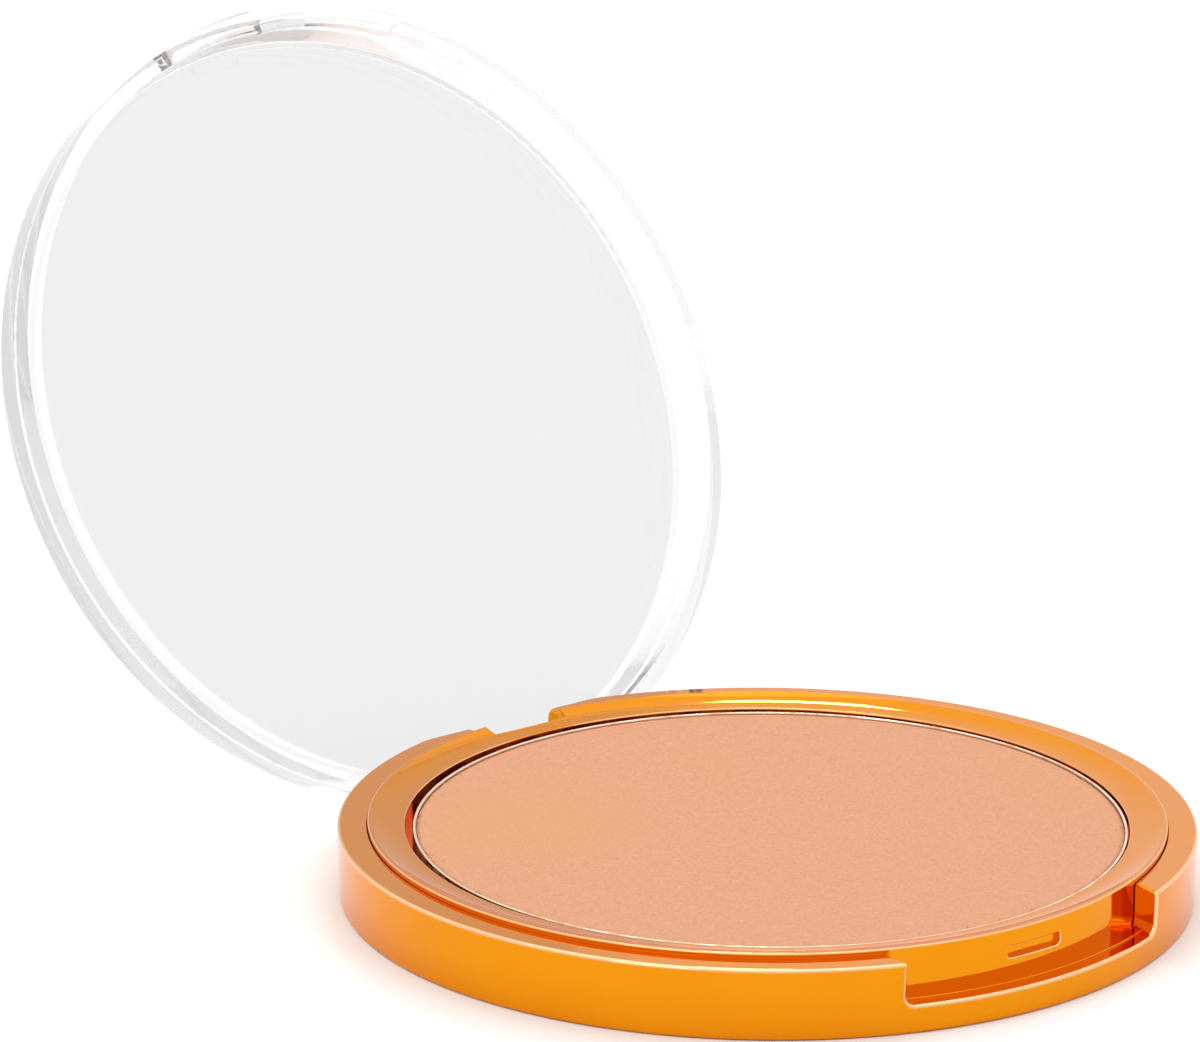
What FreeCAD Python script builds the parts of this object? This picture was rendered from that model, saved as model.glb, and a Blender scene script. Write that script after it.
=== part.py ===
import FreeCAD, Part
import math
import os
import Sketcher

# A round powder compact, modelled open. Millimetres, +Z up.
# The origin is the centre of the base's underside. The thumb recess faces -Y, the hinge is at +Y
# and its axis runs along X. The lid is drawn shut and its Placement swings it open on that axis.

doc = FreeCAD.newDocument("PowderCompact")
sheet = doc.addObject("Spreadsheet::Sheet", "Dims")

DIMENSIONS = [
    ("shell", [
        ("shell_radius", 35.5, "outer radius of the base just under the ledge"),
        ("shell_foot_radius", 35.3, "outer radius at the bottom, from the mould's draft"),
        ("shell_bore", 33.1, "radius of the bore that the inner frame drops into"),
        ("ledge_height", 6.0, "height of the ledge that the lid closes on"),
        ("floor_top", 1.4, "top of the base's floor"),
        ("foot_ring", 28.0, "inner radius of the ring that the base stands on"),
        ("foot_depth", 0.35, "depth of the hollow for the label, inside the foot ring"),
        ("outer_round", 0.3, "radius of the lower outer edge"),
        ("ledge_chamfer", 0.25, "chamfer on the ledge's outer edge"),
        ("rear_flat", 34.3, "distance of the flat behind the hinge"),
        ("bore_round", 0.08, "radius of the ledge's inner edge"),
    ]),
    ("thumb recess", [
        ("recess_half_width", 13.2, "half the width of the recess"),
        ("recess_floor", 2.4, "height of the recess floor"),
        ("recess_corner", 0.8, "radius of the recess's lower corners"),
        ("recess_back", 30.2, "how near to the centre the cut starts"),
        ("step_radius", 34.1, "outer radius of the low step on the recess floor"),
        ("step_height", 0.14, "height of that step"),
        ("step_root", 0.2, "how deep the step is rooted in the floor"),
        ("step_overrun", 0.6, "how far the step runs on into the recess's side walls"),
    ]),
    ("inner frame", [
        ("frame_radius", 33.0, "outer radius of the frame"),
        ("rim_height", 6.45, "height of the frame's raised rim"),
        ("rim_round", 0.18, "radius of the rim's edge"),
        ("rim_land", 0.35, "width of the rim before the ring dips"),
        ("ring_sag", 0.14, "how far the dished ring sags below a straight cone"),
        ("well_round", 0.1, "radius of the well's edge"),
        ("well_radius", 29.9, "radius of the well that holds the pan"),
        ("well_lip", 5.88, "height of the well's edge"),
        ("well_wall", 0.85, "thickness of the well's wall"),
        ("catch_wall", 1.2, "thickness of the frame's outer wall"),
        ("flange", 1.1, "thickness of the frame's top"),
        ("flange_slope", 0.4, "how much thicker the frame's top is at its outer wall"),
        ("block_side_gap", 0.2, "room beside the hinge block"),
        ("block_roof_gap", 0.05, "room above the hinge block"),
        ("block_face_gap", 0.03, "room in front of the hinge block, behind the well's wall"),
        ("slot_half_width", 2.75, "half the width of the catch slot"),
        ("slot_low", 4.0, "height of the slot's lower edge"),
        ("slot_high", 5.0, "height of the slot's upper edge"),
        ("slot_depth", 0.5, "depth of the catch slot"),
    ]),
    ("hinge", [
        ("hinge_y", 33.2, "distance of the hinge axis behind the centre"),
        ("hinge_z", 3.2, "height of the hinge axis"),
        ("open_angle", 118.7, "angle that the lid opens to"),
        ("notch_half_width", 4.05, "half the width of the notch for the knuckle"),
        ("notch_wall", 31.35, "distance of the notch's inner wall"),
        ("notch_round", 0.7, "radius of the notch's upper corners"),
        ("block_half_width", 12.9, "half the width of the solid block round the pin"),
        ("block_front", 30.85, "distance of the block's front face"),
        ("block_top", 4.95, "height of the block, under the frame's top"),
        ("block_root", 0.1, "how deep the block is rooted in the floor"),
        ("block_side_back", 31.2, "how far back the block's sides run"),
        ("block_back", 33.8, "how far back the block runs behind the pin"),
        ("pin_radius", 0.6, "radius of the hinge pin"),
        ("pin_start", -11.6, "pin's end in the open hole"),
        ("pin_end", 9.9, "pin's end in the blind hole"),
        ("pin_hole_start", -14.0, "where the hole comes out through the base's side"),
        ("pin_hole_end", 10.0, "bottom of the blind hole"),
        ("pin_chamfer", 0.12, "chamfer on the pin's ends"),
        ("running_gap", 0.05, "radial clearance of the pin in the knuckle"),
        ("knuckle_radius", 1.35, "outer radius of the lid's knuckle"),
        ("knuckle_half_width", 3.8, "half the width of the knuckle"),
        ("neck_front", 32.1, "front of the neck that carries the knuckle"),
        ("neck_back", 34.3, "back of the neck"),
        ("neck_slope", 0.9, "how far the neck's front rises above the relief"),
    ]),
    ("lid", [
        ("lid_radius", 35.45, "outer radius at the skirt's edge"),
        ("lid_top_radius", 35.1, "outer radius at the top face"),
        ("lid_top", 11.72, "height of the shut lid's top face"),
        ("lid_edge", 6.18, "height of the shut lid's skirt edge"),
        ("lid_round", 0.45, "radius of the top face's edge"),
        ("plate", 1.5, "thickness of the lid's plate"),
        ("skirt_bore", 34.15, "inner radius at the skirt's edge"),
        ("skirt_root", 33.5, "inner radius at the plate"),
        ("root_round", 0.5, "radius of the inner corner"),
        ("facet_offset", 3.0, "how far the rear facet stands off the hinge axis"),
        ("facet_wall", 1.2, "thickness of the wall behind the rear facet"),
        ("facet_half_width", 15.2, "half the width of that wall before it is trimmed round"),
        ("trim_reach", 8.0, "how far out the round trim cuts, past that wall's corners"),
        ("relief_half_width", 13.0, "half the width of the relief above the hinge"),
        ("relief_height", 6.65, "height of the skirt's edge in that relief"),
        ("relief_front", 30.0, "front of the relief"),
        ("tab_half_angle", 21.2, "half the angle that the thumb tab spans"),
        ("tab_low", 4.2, "height of the tab's lower edge"),
        ("tab_bore", 34.1, "inner radius of the tab"),
        ("tab_corner", 0.8, "radius of the tab's lower corners"),
        ("tab_root", 0.3, "how far the tab runs up into the skirt"),
        ("tab_inset", 0.02, "how far the tab's root stays inside the skirt's outer face"),
        ("bead_half_angle", 4.0, "half the angle that the catch bead spans"),
        ("bead_radius", 33.28, "radius of the catch bead's crest"),
        ("bead_low", 4.25, "height of the bead's lower edge"),
        ("bead_high", 4.85, "height of the bead's upper edge"),
        ("bead_root", 0.3, "how deep the bead is rooted in the tab"),
        ("bead_lead", 0.3, "height of the slope above the bead"),
        ("bead_step", 0.05, "height of the slope below the bead"),
    ]),
    ("pan and powder", [
        ("pan_radius", 29.5, "outer radius of the metal pan"),
        ("pan_wall", 0.25, "thickness of the pan's sheet"),
        ("pan_rim", 5.7, "height of the pan's rim"),
        ("pan_corner", 0.8, "radius of the pan's lower corner"),
        ("pan_shift_x", 0.19, "how far off centre the pan is glued, along X"),
        ("pan_shift_y", -0.16, "how far off centre the pan is glued, along Y"),
        ("powder_gap", 0.03, "gap between the powder and the pan's wall"),
        ("powder_edge", 5.56, "height of the powder at its edge"),
        ("powder_crown", 0.08, "how much higher the powder is at its centre"),
        ("glue_radius", 3.6, "radius of each glue spot"),
        ("glue_height", 0.25, "thickness of each glue spot"),
        ("glue_circle", 15.0, "radius of the circle that the glue spots lie on"),
    ]),
    ("label", [
        ("label_radius", 24.0, "radius of the label under the base"),
        ("label_thickness", 0.12, "thickness of the label"),
    ]),
    ("cuts", [
        ("overshoot", 1.0, "how far a cut runs on past the solid"),
    ]),
]
GLUE_SPOTS = 4


def fill_sheet():
    row = 0
    for section, entries in DIMENSIONS:
        row += 1
        sheet.set("A%d" % row, section)
        for alias, value, meaning in entries:
            row += 1
            sheet.set("A%d" % row, meaning)
            sheet.set("B%d" % row, str(value))
            sheet.setAlias("B%d" % row, alias)
    doc.recompute()


fill_sheet()
sheet_aliases = {alias for section, entries in DIMENSIONS for alias, value, meaning in entries}


def dim(alias):
    return float(getattr(sheet, alias))


def formula(text):
    """Turn a formula written with plain aliases into one that FreeCAD can bind."""
    words = []
    word = ""
    for letter in text + " ":
        if letter.isalnum() or letter == "_":
            word += letter
            continue
        words.append("Dims." + word if word in sheet_aliases else word)
        words.append(letter)
        word = ""
    return "".join(words).strip()


def value_of(text):
    result = sheet.evalExpression(formula(text))
    return float(getattr(result, "Value", result))


def new_body(label):
    body = doc.addObject("PartDesign::Body", label)
    body.Label = label
    return body


def new_sketch(body, name, role, offset=None):
    plane = next(item for item in body.Origin.OriginFeatures if item.Role == role)
    sketch = body.newObject("Sketcher::SketchObject", name)
    sketch.AttachmentSupport = [(plane, "")]
    sketch.MapMode = "FlatFace"
    if offset is not None:
        sketch.setExpression("AttachmentOffset.Base.z", formula(offset))
    return sketch


def pin_point(sketch, edge, end, where):
    """Bind one end of an edge to two formulas, measured from the sketch's origin."""
    axes = ((0, "DistanceX", -2), (1, "DistanceY", -1))
    for index, kind, axis in axes:
        distance = value_of(where[index])
        if abs(distance) < 1e-9:
            sketch.addConstraint(Sketcher.Constraint("PointOnObject", edge, end, axis))
            continue
        number = sketch.addConstraint(Sketcher.Constraint(kind, -1, 1, edge, end, distance))
        sketch.setExpression("Constraints[%d]" % number, formula(where[index]))


def polygon(sketch, points):
    """A closed outline. A point written (x, y, sag) makes the edge that leaves it an arc."""
    places = [FreeCAD.Vector(value_of(p[0]), value_of(p[1]), 0) for p in points]
    count = len(points)
    ends = []
    for index, point in enumerate(points):
        start = places[index]
        finish = places[(index + 1) % count]
        if len(point) == 2:
            edge = sketch.addGeometry(Part.LineSegment(start, finish), False)
            ends.append((edge, 1, 2))
            continue
        sag = value_of(point[2])
        along = finish - start
        left = FreeCAD.Vector(-along.y, along.x, 0).normalize()
        radius = along.Length ** 2 / (8 * abs(sag)) + abs(sag) / 2
        centre = (start + finish) * 0.5 + left * (sag - math.copysign(radius, sag))
        turn_start, turn_finish = (finish, start) if sag > 0 else (start, finish)
        arc = Part.ArcOfCircle(
            Part.Circle(centre, FreeCAD.Vector(0, 0, 1), radius),
            math.atan2(turn_start.y - centre.y, turn_start.x - centre.x),
            math.atan2(turn_finish.y - centre.y, turn_finish.x - centre.x))
        edge = sketch.addGeometry(arc, False)
        ends.append((edge, 2, 1) if sag > 0 else (edge, 1, 2))
        number = sketch.addConstraint(Sketcher.Constraint("Radius", edge, radius))
        following = points[(index + 1) % count]
        chord = "sqrt((%s - (%s)) ^ 2 + (%s - (%s)) ^ 2)" % (
            following[0], point[0], following[1], point[1])
        sketch.setExpression("Constraints[%d]" % number, formula(
            "(%s) ^ 2 / (8 * abs(%s)) + abs(%s) / 2" % (chord, point[2], point[2])))
    for index in range(count):
        edge, start_end, finish_end = ends[index]
        following = ends[(index + 1) % count]
        sketch.addConstraint(
            Sketcher.Constraint("Coincident", edge, finish_end, following[0], following[1]))
        pin_point(sketch, edge, start_end, points[index])


def circle(sketch, across, up, radius):
    centre = FreeCAD.Vector(value_of(across), value_of(up), 0)
    edge = sketch.addGeometry(Part.Circle(centre, FreeCAD.Vector(0, 0, 1), value_of(radius)), False)
    number = sketch.addConstraint(Sketcher.Constraint("Radius", edge, value_of(radius)))
    sketch.setExpression("Constraints[%d]" % number, formula(radius))
    pin_point(sketch, edge, 3, (across, up))


def revolve(body, name, points, kind="PartDesign::Revolution", half_angle=None):
    """Turn an outline drawn in the YZ plane, as (radius, height), about the Z axis."""
    sketch = new_sketch(body, name + "_sketch", "YZ_Plane")
    if half_angle is not None:
        points = [("-(%s)" % point[0], point[1]) for point in points]
    polygon(sketch, points)
    feature = body.newObject(kind, name)
    feature.Profile = sketch
    feature.ReferenceAxis = (sketch, ["V_Axis"])
    if half_angle is None:
        feature.Angle = 360
    else:
        feature.Midplane = True
        feature.setExpression("Angle", formula("2 * " + half_angle))
    sketch.Visibility = False
    return settle(body, feature, kind)


def extrude(body, name, role, outline, length, offset=None, kind="PartDesign::Pad", reverse=False):
    """Pad or pocket an outline. An outline is a list of points, or a circle's three formulas."""
    sketch = new_sketch(body, name + "_sketch", role, offset)
    if isinstance(outline, tuple):
        circle(sketch, *outline)
    else:
        polygon(sketch, outline)
    feature = body.newObject(kind, name)
    feature.Profile = sketch
    feature.setExpression("Length", formula(length))
    feature.Reversed = reverse
    feature.SideType = "One side" if offset is not None else "Symmetric"
    sketch.Visibility = False
    return settle(body, feature, kind)


def settle(body, feature, kind):
    """Rebuild, and make sure that the feature added or removed something."""
    before = feature.BaseFeature.Shape.Volume if feature.BaseFeature else 0.0
    doc.recompute()
    change = feature.Shape.Volume - before
    cuts = kind.endswith("Pocket") or kind.endswith("Groove")
    if (cuts and change > -1e-4) or (not cuts and change < 1e-4):
        raise RuntimeError("%s changed the volume by %.4f" % (feature.Name, change))
    return feature


def cut(body, name, role, outline, length, offset=None, reverse=False):
    return extrude(body, name, role, outline, length, offset, "PartDesign::Pocket", reverse)


def fillet(body, name, radius, wanted):
    """Round every edge of the body's tip that the test 'wanted' picks out."""
    base = body.Tip
    edges = ["Edge%d" % (i + 1) for i, edge in enumerate(base.Shape.Edges) if wanted(edge)]
    if not edges:
        raise RuntimeError("no edges for " + name)
    feature = body.newObject("PartDesign::Fillet", name)
    feature.Base = (base, edges)
    feature.setExpression("Radius", formula(radius))
    doc.recompute()
    return feature


def box_of(edge):
    return edge.BoundBox


def near(first, second, slack=0.02):
    return abs(first - second) < slack


def ring_at(radius, height):
    """A test for circular edges about the Z axis at this radius and height."""
    def wanted(edge):
        curve = edge.Curve
        if not isinstance(curve, Part.Circle):
            return False
        centred = math.hypot(curve.Center.x, curve.Center.y) < 0.01
        return centred and near(curve.Radius, radius) and near(curve.Center.z, height)
    return wanted


def rounding(radius):
    """How far the arc that rounds a square corner bulges, seen from its own chord."""
    return "-%s * (1 - sqrt(0.5))" % radius


def rectangle(left, low, right, high):
    return [(left, low), (right, low), (right, high), (left, high)]


def make_base_shell():
    """The outer shell: floor, wall with the ledge, thumb recess, hinge block and notch."""
    body = new_body("base_shell")
    revolve(body, "cup", [
        ("0", "foot_depth"),
        ("foot_ring", "foot_depth"),
        ("foot_ring + foot_depth", "0"),
        ("shell_foot_radius - outer_round", "0", rounding("outer_round")),
        ("shell_foot_radius", "outer_round"),
        ("shell_radius", "ledge_height - ledge_chamfer"),
        ("shell_radius - ledge_chamfer", "ledge_height"),
        ("shell_bore + bore_round", "ledge_height", rounding("bore_round")),
        ("shell_bore", "ledge_height - bore_round"),
        ("shell_bore", "floor_top"),
        ("0", "floor_top"),
    ])
    extrude(body, "hinge_block", "XY_Plane", [
        ("-block_half_width", "block_front"),
        ("block_half_width", "block_front"),
        ("block_half_width", "block_side_back"),
        ("notch_half_width", "block_back"),
        ("-notch_half_width", "block_back"),
        ("-block_half_width", "block_side_back"),
    ], "block_top - floor_top + block_root", offset="floor_top - block_root")
    cut(body, "rear_flat_cut", "XY_Plane", rectangle(
        "-block_half_width", "rear_flat", "block_half_width", "shell_radius + overshoot"),
        "ledge_height + 2 * overshoot", offset="-overshoot", reverse=True)
    cut(body, "recess_cut", "XZ_Plane", rectangle(
        "-recess_half_width", "recess_floor", "recess_half_width", "ledge_height + overshoot"),
        "shell_radius + overshoot - recess_back", offset="recess_back", reverse=True)
    fillet(body, "recess_corners", "recess_corner", lambda edge: (
        near(box_of(edge).ZMin, dim("recess_floor")) and near(box_of(edge).ZMax, dim("recess_floor"))
        and near(abs(box_of(edge).Center.x), dim("recess_half_width"))
        and box_of(edge).XLength < 0.01 and box_of(edge).Center.y < 0))
    revolve(body, "recess_step", [
        ("shell_bore", "recess_floor - step_root"),
        ("step_radius", "recess_floor - step_root"),
        ("step_radius", "recess_floor + step_height"),
        ("shell_bore", "recess_floor + step_height"),
    ], half_angle="asin((recess_half_width + step_overrun) / shell_bore) / 1 deg")
    round_sag = "notch_round * (1 - sqrt(0.5))"
    cut(body, "notch", "XZ_Plane", [
        ("-notch_half_width", "-overshoot"),
        ("notch_half_width", "-overshoot"),
        ("notch_half_width", "ledge_height - notch_round", round_sag),
        ("notch_half_width + notch_round", "ledge_height"),
        ("notch_half_width + notch_round", "ledge_height + overshoot"),
        ("-notch_half_width - notch_round", "ledge_height + overshoot"),
        ("-notch_half_width - notch_round", "ledge_height", round_sag),
        ("-notch_half_width", "ledge_height - notch_round"),
    ], "shell_radius - notch_wall + overshoot", offset="-notch_wall")
    cut(body, "pin_hole", "YZ_Plane", ("hinge_y", "hinge_z", "pin_radius"),
        "pin_hole_end - pin_hole_start", offset="pin_hole_start", reverse=True)
    return body


def make_inner_frame():
    """The frame inside the shell: raised rim, dished ring, well wall and catch wall."""
    body = new_body("inner_frame")
    revolve(body, "channel", [
        ("frame_radius", "floor_top"),
        ("frame_radius", "rim_height - rim_round", rounding("rim_round")),
        ("frame_radius - rim_round", "rim_height"),
        ("frame_radius - rim_land", "rim_height", "ring_sag"),
        ("well_radius + well_round", "well_lip", rounding("well_round")),
        ("well_radius", "well_lip - well_round"),
        ("well_radius", "floor_top"),
        ("well_radius + well_wall", "floor_top"),
        ("well_radius + well_wall", "well_lip - flange"),
        ("frame_radius - catch_wall", "rim_height - flange - flange_slope"),
        ("frame_radius - catch_wall", "floor_top"),
    ])
    cut(body, "block_room", "XY_Plane", rectangle(
        "-block_half_width - block_side_gap", "well_radius + well_wall + block_face_gap",
        "block_half_width + block_side_gap", "frame_radius + overshoot"),
        "block_top + block_roof_gap + overshoot", offset="-overshoot", reverse=True)
    cut(body, "notch", "XY_Plane", rectangle(
        "-notch_half_width", "notch_wall", "notch_half_width", "frame_radius + overshoot"),
        "rim_height + 2 * overshoot", offset="-overshoot", reverse=True)
    cut(body, "catch_slot", "XZ_Plane", rectangle(
        "-slot_half_width", "slot_low", "slot_half_width", "slot_high"),
        "slot_depth + overshoot", offset="frame_radius - slot_depth", reverse=True)
    return body


def make_hinge_pin():
    body = new_body("hinge_pin")
    extrude(body, "rod", "YZ_Plane", ("hinge_y", "hinge_z", "pin_radius"),
            "pin_end - pin_start", offset="pin_start")
    feature = body.newObject("PartDesign::Chamfer", "end_chamfers")
    rod = doc.getObject("rod")
    rims = ["Edge%d" % (i + 1) for i, edge in enumerate(rod.Shape.Edges)
            if isinstance(edge.Curve, Part.Circle)]
    feature.Base = (rod, rims)
    feature.setExpression("Size", formula("pin_chamfer"))
    doc.recompute()
    return body


def facet_y(offset, height):
    """Distance behind the centre of a plane that stands 'offset' off the hinge axis."""
    return ("hinge_y + (%s + (%s - hinge_z) * cos(open_angle * 1 deg)) / sin(open_angle * 1 deg)"
            % (offset, height))


def make_clear_lid():
    """The clear lid: plate, skirt, rear facet, thumb tab with catch bead, and knuckle."""
    body = new_body("clear_lid")
    inner_top = "lid_top - plate"
    revolve(body, "dish", [
        ("0", "lid_top"),
        ("lid_top_radius", "lid_top"),
        ("lid_radius", "lid_edge"),
        ("skirt_bore", "lid_edge"),
        ("skirt_root", inner_top),
        ("0", inner_top),
    ])
    extrude(body, "facet_wall_slab", "YZ_Plane", [
        (facet_y("facet_offset - facet_wall", "relief_height"), "relief_height"),
        (facet_y("facet_offset", "relief_height"), "relief_height"),
        (facet_y("facet_offset", inner_top), inner_top),
        (facet_y("facet_offset - facet_wall", inner_top), inner_top),
    ], "2 * facet_half_width")
    cut(body, "facet", "YZ_Plane", [
        (facet_y("facet_offset", "lid_edge - overshoot"), "lid_edge - overshoot"),
        ("lid_radius + overshoot", "lid_edge - overshoot"),
        ("lid_radius + overshoot", "lid_top + overshoot"),
        (facet_y("facet_offset", "lid_top + overshoot"), "lid_top + overshoot"),
    ], "2 * lid_radius")
    revolve(body, "round_trim", [
        ("lid_top_radius", "lid_top"),
        ("lid_radius + trim_reach", "lid_top"),
        ("lid_radius + trim_reach", "lid_edge - overshoot"),
        ("lid_radius", "lid_edge - overshoot"),
        ("lid_radius", "lid_edge"),
    ], "PartDesign::Groove")
    cut(body, "relief", "XY_Plane", rectangle(
        "-relief_half_width", "relief_front", "relief_half_width", "lid_radius + overshoot"),
        "relief_height - lid_edge + overshoot", offset="lid_edge - overshoot", reverse=True)
    fillet(body, "root", "root_round", ring_at(dim("skirt_root"), value_of(inner_top)))
    fillet(body, "top_edge", "lid_round", lambda edge: (
        near(box_of(edge).ZMin, dim("lid_top")) and near(box_of(edge).ZMax, dim("lid_top"))))
    revolve(body, "tab", [
        ("tab_bore", "tab_low"),
        ("lid_radius", "tab_low"),
        ("lid_radius", "lid_edge"),
        ("lid_radius - tab_inset", "lid_edge + tab_root"),
        ("tab_bore", "lid_edge + tab_root"),
    ], half_angle="tab_half_angle")
    fillet(body, "tab_corners", "tab_corner", lambda edge: (
        near(box_of(edge).ZMin, dim("tab_low")) and near(box_of(edge).ZMax, dim("tab_low"))
        and isinstance(edge.Curve, Part.Line)))
    revolve(body, "catch_bead", [
        ("tab_bore + bead_root", "bead_low - bead_root"),
        ("tab_bore + bead_root", "bead_high + bead_lead"),
        ("tab_bore", "bead_high + bead_lead"),
        ("bead_radius", "bead_high"),
        ("bead_radius", "bead_low"),
        ("tab_bore", "bead_low - bead_step"),
    ], half_angle="bead_half_angle")
    neck_top = "(lid_top - plate / 2)"
    extrude(body, "neck", "YZ_Plane", [
        ("neck_front", "hinge_z"),
        ("neck_back", "hinge_z"),
        ("neck_back", "relief_height"),
        (facet_y("facet_offset", neck_top), neck_top),
        (facet_y("facet_offset - facet_wall", neck_top), neck_top),
        ("neck_front", "relief_height + neck_slope"),
    ], "2 * knuckle_half_width")
    extrude(body, "barrel", "YZ_Plane", ("hinge_y", "hinge_z", "knuckle_radius"),
            "2 * knuckle_half_width")
    cut(body, "knuckle_bore", "YZ_Plane", ("hinge_y", "hinge_z", "pin_radius + running_gap"),
        "2 * (knuckle_half_width + overshoot)")
    swing_open(body)
    return body


def swing_open(body):
    """Turn the lid from shut to open about the hinge axis."""
    turn = "open_angle * 1 deg"
    body.Placement = FreeCAD.Placement(
        FreeCAD.Vector(0, 0, 0), FreeCAD.Rotation(FreeCAD.Vector(-1, 0, 0), dim("open_angle")))
    body.setExpression("Placement.Rotation.Angle", formula(turn))
    body.setExpression("Placement.Base.y", formula(
        "hinge_y - (hinge_y * cos(%s) + hinge_z * sin(%s))" % (turn, turn)))
    body.setExpression("Placement.Base.z", formula(
        "hinge_z + hinge_y * sin(%s) - hinge_z * cos(%s)" % (turn, turn)))


def place_pan(body):
    body.setExpression("Placement.Base.x", formula("pan_shift_x"))
    body.setExpression("Placement.Base.y", formula("pan_shift_y"))


def make_pan():
    """The shallow metal pan that is pressed full of powder and glued into the well."""
    body = new_body("metal_pan")
    low = "floor_top + glue_height"
    revolve(body, "cup_shape", [
        ("0", low),
        ("pan_radius", low),
        ("pan_radius", "pan_rim"),
        ("pan_radius - pan_wall", "pan_rim"),
        ("pan_radius - pan_wall", low + " + pan_wall"),
        ("0", low + " + pan_wall"),
    ])
    fillet(body, "lower_corner", "pan_corner", ring_at(dim("pan_radius"), value_of(low)))
    fillet(body, "inner_corner", "pan_corner - pan_wall", ring_at(
        value_of("pan_radius - pan_wall"), value_of(low + " + pan_wall")))
    place_pan(body)
    return body


def make_powder():
    """The pressed cake. Its top is very slightly crowned."""
    body = new_body("pressed_powder")
    low = "floor_top + glue_height + pan_wall + powder_gap"
    edge = "pan_radius - pan_wall - powder_gap"
    revolve(body, "cake", [
        ("0", low),
        (edge + " - pan_corner", low),
        (edge, low + " + pan_corner"),
        (edge, "powder_edge"),
        ("0", "powder_edge + powder_crown"),
    ])
    place_pan(body)
    return body


def make_glue():
    """Flat spots of hot glue between the pan and the floor, as one node of separate solids."""
    spots = []
    for index in range(GLUE_SPOTS):
        angle = "%g * 1 deg" % (360.0 / GLUE_SPOTS * (index + 0.5))
        spot = doc.addObject("Part::Cylinder", "glue_spot_%d" % index)
        spot.setExpression("Radius", formula("glue_radius"))
        spot.setExpression("Height", formula("glue_height"))
        spot.setExpression("Placement.Base.x", formula("glue_circle * cos(%s)" % angle))
        spot.setExpression("Placement.Base.y", formula("glue_circle * sin(%s)" % angle))
        spot.setExpression("Placement.Base.z", formula("floor_top"))
        spots.append(spot)
    group = doc.addObject("Part::Compound", "pan_glue")
    group.Links = spots
    group.Label = "pan_glue"
    return group


def make_label():
    """A blank paper label in the hollow under the base."""
    label = doc.addObject("Part::Cylinder", "base_label")
    label.Label = "base_label"
    label.setExpression("Radius", formula("label_radius"))
    label.setExpression("Height", formula("label_thickness"))
    label.setExpression("Placement.Base.z", formula("foot_depth - label_thickness"))
    return label


def check(part):
    shape = part.Shape
    if shape.isNull() or not shape.isValid():
        raise RuntimeError(part.Label + " has no valid shape")
    if not shape.Solids:
        raise RuntimeError(part.Label + " has no solid")


def main():
    parts = [
        make_base_shell(),
        make_inner_frame(),
        make_hinge_pin(),
        make_clear_lid(),
        make_pan(),
        make_powder(),
        make_glue(),
        make_label(),
    ]
    doc.recompute()
    for item in doc.Objects:
        if "Invalid" in item.State or "Error" in item.State:
            raise RuntimeError("%s is in state %s" % (item.Label, item.State))
    os.makedirs("parts", exist_ok=True)
    for part in parts:
        check(part)
        part.Shape.exportStep(os.path.join("parts", part.Label + ".step"))
        box = part.Shape.optimalBoundingBox(False)
        print("%-16s %9.2f mm3, solids %d, x %.2f..%.2f y %.2f..%.2f z %.2f..%.2f" % (
            part.Label, part.Shape.Volume, len(part.Shape.Solids),
            box.XMin, box.XMax, box.YMin, box.YMax, box.ZMin, box.ZMax))


main()
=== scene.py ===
import math
import random

import bpy
from mathutils import Matrix, Vector, noise


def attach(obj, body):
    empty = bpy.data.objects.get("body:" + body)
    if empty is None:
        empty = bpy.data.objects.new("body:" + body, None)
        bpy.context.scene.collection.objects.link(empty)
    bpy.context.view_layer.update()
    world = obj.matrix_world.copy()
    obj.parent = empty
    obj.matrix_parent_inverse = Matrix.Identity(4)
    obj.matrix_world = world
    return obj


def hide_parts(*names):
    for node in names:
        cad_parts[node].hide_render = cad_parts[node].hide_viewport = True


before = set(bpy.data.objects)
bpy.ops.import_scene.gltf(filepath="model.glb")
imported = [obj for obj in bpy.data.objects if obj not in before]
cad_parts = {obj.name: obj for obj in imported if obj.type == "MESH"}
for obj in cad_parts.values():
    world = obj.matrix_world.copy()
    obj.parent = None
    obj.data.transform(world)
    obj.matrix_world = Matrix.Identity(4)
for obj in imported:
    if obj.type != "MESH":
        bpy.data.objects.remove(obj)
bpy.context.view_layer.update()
scene = bpy.context.scene
MM = 0.001
ORIGIN = Vector()
UPRIGHT = Vector((0, 0, 1))


# ---------------------------------------------------------------- camera, floor and light

CAMERA_AZIMUTH = math.radians(-38.94)
CAMERA_ELEVATION = math.radians(16.85)
CAMERA_ROLL = math.radians(0.13)
CAMERA_DISTANCE = 608.58 * MM
CAMERA_LENS = 220.55
CAMERA_SENSOR = 36
CAMERA_NEAREST = 0.05
CAMERA_FARTHEST = 50
AIM_ACROSS = -13.85 * MM
AIM_UP = 30.43 * MM


def link(name, data):
    """An object in the scene for a mesh, a lamp or a camera."""
    thing = bpy.data.objects.new(name, data)
    scene.collection.objects.link(thing)
    return thing


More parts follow.
